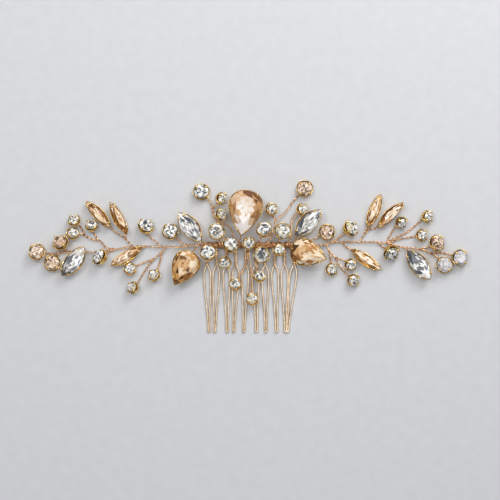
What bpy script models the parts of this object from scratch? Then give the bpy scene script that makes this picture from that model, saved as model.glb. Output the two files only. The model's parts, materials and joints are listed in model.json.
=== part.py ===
"""Bridal hair comb: a bent-wire comb that carries sprays of crystals in claw settings.

The comb lies on its back on the plane z = 0. Stones face +Z, the teeth point along -Y and the two
wings spread along X. All the sizes below are in millimetres; MM turns them into Blender's metres.
"""

import math

import bmesh
import bpy
from mathutils import Matrix, Vector

MM = 0.001

# The comb: one continuous wire, bent into a spine and hairpin teeth.
COMB_WIRE_R = 0.4
SPINE_Y = 5.2
SPINE_Z = 1.0
TOOTH_COUNT = 10
TOOTH_PITCH = 4.1
FIRST_TOOTH_X = -17.6
# A cylinder with the section of the two wires that it stands for.
TWIST_R = 0.57
TWIST_END_Y = -3.6
# Below the twist the legs part here, and this far from the tooth's middle.
LEGS_PART_Y = -4.8
LEGS_PART_HALF_GAP = 0.9
LEGS_IN_TWIST_Y = -3.1
LEGS_IN_TWIST_HALF_GAP = 0.1
LOOP_WIDE_Y = -7.6
LOOP_CLOSED_Y = -26.0
LOOP_HALF_WIDTH = 1.4
LEG_HALF_GAP = 0.37
TIP_BEND_Y = -31.1
TIP_Y = -31.6
TIP_Z = 0.42
# How far each hand-bent tooth tip leans to the right of its root.
TIP_LEANS = (1.0, -0.8, 0.4, -1.0, -0.8, 0.5, 0.4, 0.8, 0.4, -2.8)

# The vine: thin wire twisted in pairs, tied to the spine with a finer wire.
STEM_R = 0.4
BACKBONE_Z = 2.05
OVER_BINDING_Z = 3.5
WING_STEM_Z = 1.0
# A stem that rests on the table clears it by this much.
TABLE_CLEARANCE = 0.05
BINDING_R = 0.2
BINDING_HALF_WIDTH = 0.9
BINDING_HALF_HEIGHT = 1.25
BINDING_Z = 1.5
BINDING_TURNS = 9
BINDING_STEPS = 12
# Stems leave the backbone between two turns of the binding, this far right of a tooth.
STEM_EXIT_SHIFT = 1.0
# The exits are spread over a small grid, so that no two stems lie on the same line.
EXIT_COLUMNS = 11
EXIT_COLUMN_STRIDE = 3
EXIT_COLUMN_STEP = 0.17
EXIT_ROWS = 7
EXIT_ROW_STRIDE = 5
EXIT_ROW_STEP = 0.05
OVER_STEP = 0.013
UNDER_STEP = 0.007
# Hand-twisted stems differ a little in thickness, from loose to tight.
STEM_SIZES = 9
STEM_SIZE_STRIDE = 7
STEM_SIZE_STEP = 0.011
# A cup this close to its stem's exit stands on the stem, without a run over the binding.
SHORT_RUN = 1.2

# The wings bend about a line along Y where each main stem leaves the centre.
LEFT_HINGE = (-31.3, 4.4)
RIGHT_HINGE = (30.9, 5.1)
HINGE_GAP = 0.5

# Settings: a claw cup is a solid foot that opens into a conical seat.
WALL = 0.35
SEAT_GAP = 0.15
FOOT_THICKNESS = 0.9
FOOT_SHARE = 0.75
CLAW_RISE = 0.9
CLAW_LEAN = 0.45
CLAW_TAPER = 0.55
CLAW_COUNT = 4
SEAT_FLOOR_SHARE = 0.2
TABLE_SHARE = 0.55
CULET_SHARE = 0.06

# Each cut: stone length, stone width, depth from foot to girdle, crown height, outline points.
CUTS = {
    "round": (6.2, 6.2, 3.0, 1.2, 8),
    "small": (4.5, 4.5, 2.5, 0.9, 8),
    "navette": (15.0, 7.0, 3.0, 1.3, 12),
    "slim": (15.0, 4.0, 2.8, 1.1, 12),
    "drop": (15.2, 10.9, 3.4, 1.6, 12),
    "pear": (19.0, 13.8, 3.8, 2.0, 12),
}
PEAR_WIDEST = 1.0 / 6.0
PEAR_SWELL = 0.77

TINTS = {
    "clear": (0.93, 0.94, 0.96),
    "champagne": (0.95, 0.74, 0.50),
    "opal": (0.92, 0.93, 0.97),
}

# One row for each stone: name, cut, tint, centre (x, y), turn of its long axis, lean and the
# direction that it leans towards, height of its foot, and its stem's route away from the stone.
LEFT_SPRIGS = (
    ("left_round_1", "round", "champagne", (-89.3, 2.5), 0, 10, 110, 0.0,
     ((-85.9, 1.7), (-82.5, 1.7))),
    ("left_round_2", "round", "champagne", (-82.9, -2.4), 0, 0, 0, 0.0,
     ((-81.7, -0.2), (-80.0, 2.0))),
    ("left_round_3", "round", "champagne", (-79.5, 6.8), 0, 35, 115, 0.0,
     ((-78.3, 4.4), (-76.6, 2.5))),
    ("left_small_1", "small", "clear", (-73.9, 10.4), 0, 25, 45, 0.0,
     ((-71.2, 9.9), (-69.1, 9.0), (-65.7, 7.6), (-62.8, 7.1), (-61.5, 5.7), (-59.8, 3.9),
      (-56.0, 3.6))),
    ("left_small_2", "small", "clear", (-73.7, 15.9), 0, 28, 110, 0.0,
     ((-71.2, 13.2), (-69.1, 9.0))),
    ("left_small_3", "small", "clear", (-66.3, 13.8), 0, 31, 90, 0.0,
     ((-65.3, 10.3), (-63.6, 7.2))),
    ("left_slim_1", "slim", "champagne", (-63.4, 18.1), 133, 8, 220, 0.0,
     ((-58.6, 13.1), (-56.7, 10.9), (-53.8, 9.2), (-51.3, 7.1), (-48.9, 4.6))),
    ("left_slim_2", "slim", "champagne", (-54.6, 16.7), 118, 25, 30, 0.0,
     ((-52.3, 10.6), (-51.7, 7.6))),
    ("left_round_4", "round", "clear", (-42.9, 13.6), 0, 42, 60, 0.0,
     ((-41.2, 8.2), (-39.3, 6.8), (-37.2, 4.6))),
    ("left_navette", "navette", "clear", (-73.8, -1.6), 51.5, 6, 140, 0.8,
     ((-70.8, 2.6),)),
    ("left_round_5", "round", "clear", (-63.3, 0.6), 0, 49, 150, 0.0,
     ((-59.8, 1.9), (-57.3, 3.2))),
    ("left_slim_3", "slim", "champagne", (-51.6, 0.5), 30.7, 12, 120, 0.0,
     ((-46.0, 3.6), (-43.0, 4.7))),
    ("left_small_4", "small", "clear", (-49.9, -4.7), 0, 17, 60, 0.0,
     ((-46.4, -3.1), (-42.6, -1.5), (-40.3, -0.6))),
    ("left_small_5", "small", "clear", (-49.2, -12.5), 0, 39, 160, 0.0,
     ((-45.8, -8.9), (-41.7, -2.6), (-36.9, 2.2), (-34.6, 4.5))),
    ("left_small_6", "small", "clear", (-40.0, -7.2), 0, 25, 120, 0.0,
     ((-37.8, -3.1), (-37.0, 0.2), (-36.4, 2.6))),
)
RIGHT_SPRIGS = (
    ("right_round_1", "round", "opal", (89.3, -0.2), 0, 17, -20, 0.0,
     ((85.0, 1.3), (80.8, 2.0), (76.6, 1.9))),
    ("right_round_2", "round", "opal", (82.6, -3.1), 0, 0, 0, 0.0,
     ((80.8, -0.4),)),
    ("right_round_3", "round", "champagne", (79.7, 6.3), 0, 25, 20, 0.0,
     ((76.6, 4.4), (72.0, 3.6))),
    ("right_small_1", "small", "clear", (73.4, 9.4), 0, 21, 0, 0.0,
     ((69.5, 8.8), (65.7, 8.2), (62.4, 7.3), (59.4, 5.9))),
    ("right_small_2", "small", "clear", (75.9, 17.2), 0, 39, 0, 0.0,
     ((72.0, 14.8), (68.6, 11.9), (65.7, 10.0), (61.1, 7.8), (58.6, 6.1))),
    ("right_small_3", "small", "clear", (64.8, 14.3), 0, 39, -50, 0.0,
     ((61.4, 11.9), (59.2, 8.2), (58.6, 6.1))),
    ("right_slim_1", "slim", "champagne", (59.9, 17.7), 44, 22, -46, 0.0,
     ((54.8, 13.2), (51.0, 11.8), (49.4, 10.1))),
    ("right_slim_2", "slim", "champagne", (52.9, 19.6), 68.5, 8, 160, 0.0,
     ((50.3, 12.8), (48.5, 9.0), (46.8, 6.6))),
    ("right_round_4", "round", "clear", (43.5, 12.6), 0, 45, 30, 0.0,
     ((39.2, 9.2), (37.2, 7.6), (34.6, 6.1))),
    ("right_navette", "navette", "clear", (71.7, -3.1), -51, 6, 200, 0.8,
     ((67.0, 3.2), (64.8, 4.4))),
    ("right_round_5", "round", "clear", (60.4, 1.5), 0, 42, -70, 0.0,
     ((57.3, 4.2), (54.4, 6.4))),
    ("right_slim_3", "slim", "champagne", (49.6, -0.9), -35, 8, 60, 0.0,
     ((43.0, 3.4), (40.9, 4.8), (39.3, 6.6))),
    ("right_small_4", "small", "clear", (43.3, -3.3), 0, 25, -45, 0.0,
     ((40.1, -1.1), (36.3, 0.4), (34.0, 2.9), (33.0, 5.7))),
    ("right_small_5", "small", "clear", (44.5, -9.8), 0, 21, -45, 0.0,
     ((41.4, -6.9), (39.2, -4.4), (36.8, -0.4), (35.9, 0.6))),
    ("right_small_6", "small", "clear", (35.3, -5.0), 0, 17, 0, 0.0,
     ((34.9, -1.9), (34.5, 0.6), (34.0, 2.9))),
)
# The centre's stems end on the backbone: the last number is the tooth beside which they do.
CENTRE_SPRIGS = (
    ("centre_pear", "pear", "champagne", (-1.1, 21.8), 261.4, 0, 0, 3.9,
     ((-3.2, 9.0),), 3),
    ("left_drop", "drop", "champagne", (-26.0, -2.4), 241, 4, 0, 1.6,
     ((-23.6, 1.6),), -1),
    ("right_drop", "drop", "champagne", (22.8, 2.4), -17.5, 4, 180, 2.9,
     (), 9),
    ("centre_navette_1", "navette", "clear", (-24.7, 12.7), -52, 8, 210, 1.6,
     ((-20.4, 7.1),), 0),
    ("centre_navette_2", "navette", "clear", (25.1, 14.4), 46, 15, -45, 1.6,
     ((20.4, 9.2),), 9),
    ("centre_round_1", "round", "clear", (-33.0, 11.2), 0, 17, 90, 0.0,
     ((-30.0, 7.8), (-27.1, 5.5), (-22.6, 5.2)), -1),
    ("centre_round_2", "round", "champagne", (33.2, 10.7), 0, 10, 30, 0.0,
     ((28.8, 8.4), (25.0, 6.7), (21.8, 5.4)), 9),
    ("centre_round_3", "round", "clear", (-19.9, 27.7), 0, 0, 0, 0.0,
     ((-16.2, 23.5), (-15.2, 20.6), (-14.9, 17.6), (-12.6, 14.9), (-9.0, 13.6), (-6.6, 10.0)), 2),
    ("centre_round_4", "round", "champagne", (23.7, 29.1), 0, 0, 0, 0.0,
     ((19.1, 24.1), (15.8, 19.5), (11.5, 15.4), (10.7, 10.7)), 6),
    ("centre_round_5", "round", "clear", (-13.4, 10.9), 0, 5, 90, 3.4,
     ((-12.6, 8.6),), 1),
    ("centre_round_6", "round", "clear", (-7.3, 5.7), 0, 36, 45, 3.4,
     (), 2),
    ("centre_round_7", "round", "clear", (-17.0, 2.2), 0, 20, 90, 3.4,
     ((-16.8, 3.6),), 0),
    ("centre_round_8", "round", "clear", (6.6, 11.9), 0, 21, 90, 3.4,
     ((5.7, 9.0),), 5),
    ("centre_round_9", "round", "clear", (14.4, 11.1), 0, 5, 0, 3.4,
     ((13.2, 8.6),), 7),
    ("centre_round_10", "round", "clear", (5.5, 1.2), 0, 5, 90, 3.4,
     ((6.2, 3.4),), 6),
    ("centre_small_1", "small", "clear", (-10.9, 24.8), 0, 42, -5, 1.0,
     ((-13.6, 22.0), (-15.2, 20.6)), None),
    ("centre_small_2", "small", "clear", (-11.1, 18.3), 0, 31, 30, 1.6,
     ((-13.2, 15.8), (-12.6, 14.9)), None),
    ("centre_small_3", "small", "clear", (9.8, 20.5), 0, 17, 30, 0.6,
     ((10.6, 17.0), (11.5, 15.4)), None),
    ("centre_small_4", "small", "clear", (23.0, 20.4), 0, 35, 20, 0.6,
     ((18.7, 16.6), (18.0, 13.6), (17.9, 9.4)), 8),
    ("centre_small_5", "small", "clear", (-10.0, -2.5), 0, 17, 225, 3.4,
     ((-9.4, 1.3),), 2),
    ("centre_small_6", "small", "clear", (0.2, 6.0), 0, 5, 0, 3.4,
     (), 4),
    ("centre_small_7", "small", "clear", (13.0, 3.2), 0, 17, 45, 3.4,
     (), 7),
    ("centre_small_8", "small", "clear", (-5.5, -11.1), 0, 17, 90, 2.0,
     ((-3.6, -6.9), (-1.1, -2.7), (-0.4, 2.3)), 4),
    ("centre_small_9", "small", "clear", (4.7, -7.6), 0, 25, 80, 2.0,
     ((3.8, -3.6), (2.4, 0.0), (3.4, 3.0)), 5),
    ("centre_small_10", "small", "clear", (1.5, -17.3), 0, 17, 100, 2.0,
     ((1.3, -12.0), (1.1, -6.1), (0.2, 0.6)), 4),
)
# Where the backbone bends between the two wings' hinges.
BACKBONE_BENDS = ((-26.7, 4.6), (-21.5, 5.2), (21.5, 5.2), (26.7, 5.1))
LEFT_MAIN_STEM = (
    (-37.2, 4.6), (-43.0, 4.7), (-48.9, 4.6), (-54.8, 3.7), (-59.8, 2.7), (-65.7, 2.1),
    (-70.8, 2.6), (-76.6, 2.5), (-82.5, 1.7),
)
RIGHT_MAIN_STEM = (
    (34.2, 6.1), (39.3, 6.6), (46.8, 6.6), (53.1, 6.5), (58.6, 6.1), (64.8, 4.4),
    (72.0, 3.6), (76.6, 1.9), (80.8, -0.4),
)


def collection(name, parent):
    made = bpy.data.collections.new(name)
    parent.children.link(made)
    return made


def material(name, colour, roughness, metallic, transmission=0.0):
    made = bpy.data.materials.new(name)
    made.use_nodes = True
    shader = made.node_tree.nodes["Principled BSDF"]
    shader.inputs["Base Color"].default_value = (*colour, 1.0)
    shader.inputs["Roughness"].default_value = roughness
    shader.inputs["Metallic"].default_value = metallic
    shader.inputs["Transmission Weight"].default_value = transmission
    return made


def put(name, mesh, place, home):
    made = bpy.data.objects.new(name, mesh)
    made.matrix_world = place
    home.objects.link(made)
    return made


def tube(name, points, radius, home, sides_level=1):
    """A wire along the points, as a closed mesh object in the collection home."""
    curve = bpy.data.curves.new(name, "CURVE")
    curve.dimensions = "3D"
    curve.bevel_depth = radius * MM
    curve.bevel_resolution = sides_level
    curve.use_fill_caps = True
    spline = curve.splines.new("POLY")
    spline.points.add(len(points) - 1)
    for knot, point in zip(spline.points, points):
        knot.co = (*(Vector(point) * MM), 1.0)
    drawn = bpy.data.objects.new(name, curve)
    home.objects.link(drawn)
    depsgraph = bpy.context.evaluated_depsgraph_get()
    mesh = bpy.data.meshes.new_from_object(drawn.evaluated_get(depsgraph))
    weld = bmesh.new()
    weld.from_mesh(mesh)
    bmesh.ops.remove_doubles(weld, verts=weld.verts, dist=0.01 * MM)
    bmesh.ops.recalc_face_normals(weld, faces=weld.faces)
    weld.to_mesh(mesh)
    weld.free()
    place = drawn.matrix_world.copy()
    bpy.data.objects.remove(drawn)
    bpy.data.curves.remove(curve)
    return put(name, mesh, place, home)


def outline(cut, margin):
    """A stone's girdle outline about its widest point, with a margin all round it."""
    length, width, _, _, count = CUTS[cut]
    half_length = length / 2 + margin
    half_width = width / 2 + margin
    points = []
    for step in range(count):
        angle = 2 * math.pi * step / count
        if cut in ("round", "small"):
            # Half a step of turn puts flats, not corners, on the claws' diagonals.
            turned = angle + math.pi / count
            points.append((half_length * math.cos(turned), half_width * math.sin(turned)))
        elif cut in ("navette", "slim"):
            bulge = math.sin(angle) * abs(math.sin(angle))
            points.append((half_length * math.cos(angle), half_width * bulge))
        else:
            swell = math.sin(angle) * math.sin(angle / 2) / PEAR_SWELL
            points.append((half_length * (math.cos(angle) + 2 * PEAR_WIDEST), half_width * swell))
    return points


def loft(name, base, levels):
    """A closed solid: the outline at the first scale and height, drawn on through the others."""
    shape = bmesh.new()
    first_scale, first_z = levels[0]
    corners = [shape.verts.new((x * first_scale * MM, y * first_scale * MM, first_z * MM))
               for x, y in base]
    top = shape.faces.new(corners)
    scale, height = first_scale, first_z
    rings = []
    for index, (next_scale, next_z) in enumerate(levels[1:]):
        below = top
        drawn = bmesh.ops.extrude_face_region(shape, geom=[below])["geom"]
        top = next(item for item in drawn if isinstance(item, bmesh.types.BMFace))
        if index:
            bmesh.ops.delete(shape, geom=[below], context="FACES_ONLY")
        for corner in top.verts:
            corner.co.x *= next_scale / scale
            corner.co.y *= next_scale / scale
            corner.co.z += (next_z - height) * MM
        rings.append([face for edge in top.edges for face in edge.link_faces if face is not top])
        scale, height = next_scale, next_z
    bmesh.ops.recalc_face_normals(shape, faces=shape.faces)
    return shape, rings


def crystal_mesh(cut):
    """A cut stone with a pointed pavilion, a girdle at z = 0 and a flat table."""
    _, _, depth, crown, _ = CUTS[cut]
    culet_z = FOOT_THICKNESS + SEAT_GAP - depth
    levels = ((CULET_SHARE, culet_z), (1.0, 0.0), (TABLE_SHARE, crown))
    shape, _ = loft(cut, outline(cut, 0.0), levels)
    mesh = bpy.data.meshes.new(f"{cut}_crystal")
    shape.to_mesh(mesh)
    shape.free()
    return mesh


def cup_mesh(cut):
    """A claw cup round the same stone: foot, wall, rim, conical seat and claws on the rim."""
    length, _, depth, _, _ = CUTS[cut]
    rim = outline(cut, SEAT_GAP + WALL)
    seat_scale = (length / 2 + SEAT_GAP) / (length / 2 + SEAT_GAP + WALL)
    levels = ((FOOT_SHARE, -depth), (1.0, 0.0), (seat_scale, 0.0),
              (SEAT_FLOOR_SHARE, FOOT_THICKNESS - depth))
    shape, rings = loft(cut, rim, levels)
    rim_faces = rings[1]
    claw_faces = []
    # Claws stand on a long stone's diagonals, clear of its points.
    first_angle = 0.0 if cut in ("round", "small") else math.pi / CLAW_COUNT
    for index in range(CLAW_COUNT):
        angle = first_angle + 2 * math.pi * index / CLAW_COUNT
        aim = Vector((math.cos(angle), math.sin(angle), 0.0))
        claw_faces.append(max(rim_faces, key=lambda face: face.calc_center_median().dot(aim)))
    grown = bmesh.ops.extrude_discrete_faces(shape, faces=list(dict.fromkeys(claw_faces)))
    for face in grown["faces"]:
        centre = face.calc_center_median()
        inward = -Vector((centre.x, centre.y, 0.0)).normalized()
        for corner in face.verts:
            corner.co = centre + (corner.co - centre) * CLAW_TAPER
            corner.co += inward * CLAW_LEAN * MM + Vector((0, 0, CLAW_RISE * MM))
    bmesh.ops.recalc_face_normals(shape, faces=shape.faces)
    mesh = bpy.data.meshes.new(f"{cut}_cup")
    shape.to_mesh(mesh)
    shape.free()
    return mesh


def stone_axes(turn, lean, towards):
    """The rotation of a stone: turned about its own axis, then leaned towards a direction."""
    spin = Matrix.Rotation(math.radians(turn), 4, "Z")
    hinge = Vector((-math.sin(math.radians(towards)), math.cos(math.radians(towards)), 0.0))
    return Matrix.Rotation(math.radians(lean), 4, hinge) @ spin


def seat_place(cut, centre, turn, lean, towards, foot_z):
    """Where a stone's girdle sits, so that its leaning cup's foot comes down to foot_z."""
    _, width, depth, _, _ = CUTS[cut]
    foot_r = (width / 2 + SEAT_GAP + WALL) * FOOT_SHARE
    slope = math.radians(lean)
    height = foot_z + depth * math.cos(slope) + foot_r * math.sin(slope)
    return Matrix.Translation(Vector((*centre, height)) * MM) @ stone_axes(turn, lean, towards)


def foot_point(cut, place):
    """The point inside a cup's solid foot where its stem ends, in millimetres."""
    depth = CUTS[cut][2]
    return tuple(place @ Vector((0.0, 0.0, (STEM_R - depth) * MM)) / MM)


def route_heights(points, start_z, end_z):
    """Give flat route points heights that change evenly along the route."""
    lengths = [0.0]
    for before, after in zip(points, points[1:]):
        lengths.append(lengths[-1] + math.dist(before, after))
    total = max(lengths[-1], 1e-6)
    return [(x, y, start_z + (end_z - start_z) * run / total)
            for (x, y), run in zip(points, lengths)]


def stem_points(cut, place, foot_z, route, root_z):
    """A stem's points, from inside its cup's foot down its route to its root."""
    start = foot_point(cut, place)
    flat = [start[:2], *route]
    rising = route_heights(flat, foot_z + STEM_R + TABLE_CLEARANCE, root_z)
    return [start, *rising[1:]]


def stem_exit(tooth, order):
    """Where a stem meets the backbone: beside its tooth, with each stem a little off the last."""
    column = (order * EXIT_COLUMN_STRIDE) % EXIT_COLUMNS - EXIT_COLUMNS // 2
    row = (order * EXIT_ROW_STRIDE) % EXIT_ROWS - EXIT_ROWS // 2
    exit_x = FIRST_TOOTH_X + tooth * TOOTH_PITCH + STEM_EXIT_SHIFT + column * EXIT_COLUMN_STEP
    return exit_x, SPINE_Y + row * EXIT_ROW_STEP


def stem_radius(order):
    return STEM_R - STEM_SIZE_STEP * ((order * STEM_SIZE_STRIDE) % STEM_SIZES)


def nearest_height(point, stems):
    """The height of the nearest point on the stems drawn so far."""
    knots = [knot for stem in stems for knot in stem]
    return min(knots, key=lambda knot: math.dist(point, knot[:2]))[2]


def fuse(first, others):
    """Join closed bodies into one solid. The many stems cross at shallow angles, which the exact
    solver leaves touching along edges, so this is the manifold solver."""
    if not others:
        return
    group = collection(f"{first.name}_pieces", cutters)
    for piece in others:
        for home in list(piece.users_collection):
            home.objects.unlink(piece)
        group.objects.link(piece)
        piece.hide_render = True
        piece.display_type = "WIRE"
    union = first.modifiers.new("union", "BOOLEAN")
    union.operation = "UNION"
    union.solver = "MANIFOLD"
    union.operand_type = "COLLECTION"
    union.collection = group


def hang(piece, empty):
    piece.parent = empty
    piece.matrix_parent_inverse = empty.matrix_world.inverted()


def hinge_empty(name, x, y):
    empty = bpy.data.objects.new(name, None)
    empty.empty_display_size = 5 * MM
    empty.matrix_world = Matrix.Translation(Vector((x, y, BACKBONE_Z)) * MM)
    parts.objects.link(empty)
    return empty


def set_stone(name, cut, tint, place, empty):
    stone = put(name, crystals[cut].copy(), place, parts)
    colour = TINTS[tint]
    stone.data.materials.append(material(name, colour, 0.03, 0.0, 0.8))
    if empty:
        hang(stone, empty)


def tooth_point(root_x, lean, side, y):
    """A point of a tooth: it falls evenly from the spine to the tip and leans below its twist."""
    run = (SPINE_Y - y) / (SPINE_Y - TIP_Y)
    bend = max(0.0, (TWIST_END_Y - y) / (TWIST_END_Y - TIP_Y))
    return root_x + lean * bend + side, y, SPINE_Z + (TIP_Z - SPINE_Z) * run


def comb():
    """Spine, twisted tooth roots and hairpin loops, joined where the wire touches itself."""
    pieces = []
    last_x = FIRST_TOOTH_X + (TOOTH_COUNT - 1) * TOOTH_PITCH
    spine = tube("comb", ((FIRST_TOOTH_X - 1.0, SPINE_Y, SPINE_Z), (last_x + 1.0, SPINE_Y, SPINE_Z)),
                 COMB_WIRE_R, parts)
    mid_y = (LOOP_WIDE_Y + LOOP_CLOSED_Y) / 2
    mid_half = (LOOP_HALF_WIDTH + LEG_HALF_GAP) / 2
    leg = ((LEGS_IN_TWIST_HALF_GAP, LEGS_IN_TWIST_Y), (LEGS_PART_HALF_GAP, LEGS_PART_Y),
           (LOOP_HALF_WIDTH, LOOP_WIDE_Y), (mid_half, mid_y), (LEG_HALF_GAP, LOOP_CLOSED_Y),
           (LEG_HALF_GAP, TIP_BEND_Y))
    for index, lean in enumerate(TIP_LEANS):
        root_x = FIRST_TOOTH_X + index * TOOTH_PITCH
        twist = [tooth_point(root_x, lean, 0.0, y) for y in (SPINE_Y, TWIST_END_Y)]
        pieces.append(tube(f"tooth_twist_{index + 1}", twist, TWIST_R, cutters))
        down = [tooth_point(root_x, lean, -half, y) for half, y in leg]
        up = [tooth_point(root_x, lean, half, y) for half, y in reversed(leg)]
        tip = [tooth_point(root_x, lean, 0.0, TIP_Y)]
        pieces.append(tube(f"tooth_loop_{index + 1}", down + tip, COMB_WIRE_R, cutters))
        pieces.append(tube(f"tooth_return_{index + 1}", tip + up, COMB_WIRE_R, cutters))
    fuse(spine, pieces)
    spine.data.materials.append(material("comb", (0.80, 0.62, 0.42), 0.25, 1.0))


def binding_wire():
    """A fine wire wound round the spine and the vine's backbone, one turn for each tooth."""
    start_x = FIRST_TOOTH_X - TOOTH_PITCH / 4
    points = []
    for step in range(BINDING_TURNS * BINDING_STEPS + 1):
        turn = step / BINDING_STEPS
        angle = 2 * math.pi * turn
        points.append((start_x + turn * TOOTH_PITCH,
                       SPINE_Y + BINDING_HALF_WIDTH * math.sin(angle),
                       BINDING_Z + BINDING_HALF_HEIGHT * math.cos(angle)))
    coil = tube("binding_wire", points, BINDING_R, parts, 0)
    coil.data.materials.append(material("binding_wire", (0.72, 0.45, 0.28), 0.3, 1.0))


def wing(name, main, sprigs, hinge, outward):
    """One wing: its main stem starts just outside the bending line and feeds every sprig."""
    hinge_x, hinge_y = hinge
    empty = hinge_empty(f"{name}_bend", hinge_x, hinge_y)
    start = (hinge_x + outward * HINGE_GAP, hinge_y)
    knots = [(*start, BACKBONE_Z)]
    knots += [(x, y, WING_STEM_Z) for x, y in main]
    knots[1] = (*main[0], (BACKBONE_Z + WING_STEM_Z) / 2)
    frame = tube(f"{name}_frame", knots, STEM_R, parts)
    stems = [knots]
    pieces = []
    for sprig_name, cut, tint, centre, turn, lean, towards, foot_z, route in sprigs:
        place = seat_place(cut, centre, turn, lean, towards, foot_z)
        root_z = nearest_height(route[-1], stems)
        points = stem_points(cut, place, foot_z, route, root_z)
        stems.append(points)
        pieces.append(tube(f"{sprig_name}_stem", points, STEM_R, cutters))
        pieces.append(put(f"{sprig_name}_cup", cups[cut], place, cutters))
        set_stone(sprig_name, cut, tint, place, empty)
    fuse(frame, pieces)
    frame.data.materials.append(material(f"{name}_frame", (0.80, 0.58, 0.33), 0.25, 1.0))
    hang(frame, empty)


def centre_spray():
    """The fixed centre: a backbone along the spine, with every stem rising between the turns."""
    left_end = (LEFT_HINGE[0] + HINGE_GAP, LEFT_HINGE[1], BACKBONE_Z)
    right_end = (RIGHT_HINGE[0] - HINGE_GAP, RIGHT_HINGE[1], BACKBONE_Z)
    backbone = (left_end, *[(x, y, BACKBONE_Z) for x, y in BACKBONE_BENDS], right_end)
    frame = tube("centre_spray_frame", backbone, STEM_R, parts)
    stems = []
    pieces = []
    for order, sprig in enumerate(CENTRE_SPRIGS):
        name, cut, tint, centre, turn, lean, towards, foot_z, route, tooth = sprig
        place = seat_place(cut, centre, turn, lean, towards, foot_z)
        if tooth is None:
            points = stem_points(cut, place, foot_z, route, nearest_height(route[-1], stems))
        else:
            foot = stem_exit(tooth, order)
            top = OVER_BINDING_Z + OVER_STEP * order
            points = stem_points(cut, place, foot_z, (*route, foot), top)
            if math.dist(points[-1][:2], points[-2][:2]) < SHORT_RUN:
                points.pop()
            points.append((*foot, BACKBONE_Z - UNDER_STEP * order))
        stems.append(points)
        pieces.append(tube(f"{name}_stem", points, stem_radius(order), cutters))
        pieces.append(put(f"{name}_cup", cups[cut], place, cutters))
        set_stone(name, cut, tint, place, None)
    fuse(frame, pieces)
    frame.data.materials.append(material("centre_spray_frame", (0.80, 0.58, 0.33), 0.25, 1.0))


for old in list(bpy.data.objects):
    bpy.data.objects.remove(old)
parts = collection("decorative_hair_comb", bpy.context.scene.collection)
cutters = collection("joined_pieces", bpy.context.scene.collection)
cups = {cut: cup_mesh(cut) for cut in CUTS}
crystals = {cut: crystal_mesh(cut) for cut in CUTS}
comb()
binding_wire()
centre_spray()
wing("left_wing", LEFT_MAIN_STEM, LEFT_SPRIGS, LEFT_HINGE, -1)
wing("right_wing", RIGHT_MAIN_STEM, RIGHT_SPRIGS, RIGHT_HINGE, 1)
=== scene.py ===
"""Looks of the bridal hair comb: cut crystals, claw cups, twisted wire and the bent-wire comb.

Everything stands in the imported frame: z = 0 is the table, stones face +Z and the teeth point along -Y.
Sizes are in millimetres and MM turns them into metres. The sprig table and the sizes above it repeat
the model's own, because each visible piece replaces a plain solid in the same place.
"""

import json
import math
import random
from collections import namedtuple

import bpy
from mathutils import Matrix, Vector

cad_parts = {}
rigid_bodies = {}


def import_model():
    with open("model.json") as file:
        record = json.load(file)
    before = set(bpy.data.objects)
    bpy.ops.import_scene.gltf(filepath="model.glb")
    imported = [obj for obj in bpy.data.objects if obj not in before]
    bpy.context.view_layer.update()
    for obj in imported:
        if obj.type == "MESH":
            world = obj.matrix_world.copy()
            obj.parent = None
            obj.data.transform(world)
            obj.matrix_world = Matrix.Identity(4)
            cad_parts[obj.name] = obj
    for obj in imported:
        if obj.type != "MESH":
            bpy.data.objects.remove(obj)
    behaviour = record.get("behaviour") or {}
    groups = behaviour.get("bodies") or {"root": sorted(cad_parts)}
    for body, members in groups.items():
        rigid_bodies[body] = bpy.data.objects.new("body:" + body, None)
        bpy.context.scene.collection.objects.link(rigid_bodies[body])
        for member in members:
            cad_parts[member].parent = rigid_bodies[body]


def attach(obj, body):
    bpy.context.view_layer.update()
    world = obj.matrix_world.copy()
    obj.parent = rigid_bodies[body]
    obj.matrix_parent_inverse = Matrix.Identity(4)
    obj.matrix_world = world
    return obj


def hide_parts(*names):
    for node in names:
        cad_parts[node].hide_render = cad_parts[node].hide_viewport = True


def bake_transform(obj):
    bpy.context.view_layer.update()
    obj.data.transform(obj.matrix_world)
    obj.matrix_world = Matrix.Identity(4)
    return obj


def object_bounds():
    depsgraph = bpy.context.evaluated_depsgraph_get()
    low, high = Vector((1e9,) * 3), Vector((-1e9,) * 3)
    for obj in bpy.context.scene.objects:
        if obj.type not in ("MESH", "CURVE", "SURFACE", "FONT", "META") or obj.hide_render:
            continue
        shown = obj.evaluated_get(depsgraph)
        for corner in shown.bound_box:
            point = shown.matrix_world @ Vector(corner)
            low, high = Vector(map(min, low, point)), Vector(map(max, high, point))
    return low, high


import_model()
cad_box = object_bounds()

MM = 0.001

# The comb's wire.
COMB_WIRE_R = 0.4
SPINE_Y = 5.2
SPINE_Z = 1.0
TOOTH_PITCH = 4.1
FIRST_TOOTH_X = -17.6
TWIST_END_Y = -3.6
TWIST_TURNS = 3.5
TWIST_HALF_GAP = 0.36
TWIST_STEPS = 30
LEG_HALF_GAP = 0.4
TIP_Y = -31.6
TIP_Z = 0.42
TIP_LEANS = (1.0, -0.8, 0.4, -1.0, -0.8, 0.5, 0.4, 0.8, 0.4, -2.8)
# One side of a tooth's hairpin, from the twist down: half the gap between its wires, and Y.
TOOTH_LEG = (
    (0.62, TWIST_END_Y - 0.7), (1.12, TWIST_END_Y - 2.0), (1.40, -7.6), (1.30, -12.0),
    (1.02, -16.5), (0.66, -21.5), (LEG_HALF_GAP + 0.05, -26.0), (LEG_HALF_GAP, -28.5),
    (LEG_HALF_GAP, TIP_Y + 0.42),
)
TOOTH_TURN = ((-0.2, TIP_Y + 0.12), (0.0, TIP_Y), (0.2, TIP_Y + 0.12))
SPINE_OVERHANG = 1.2

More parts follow.
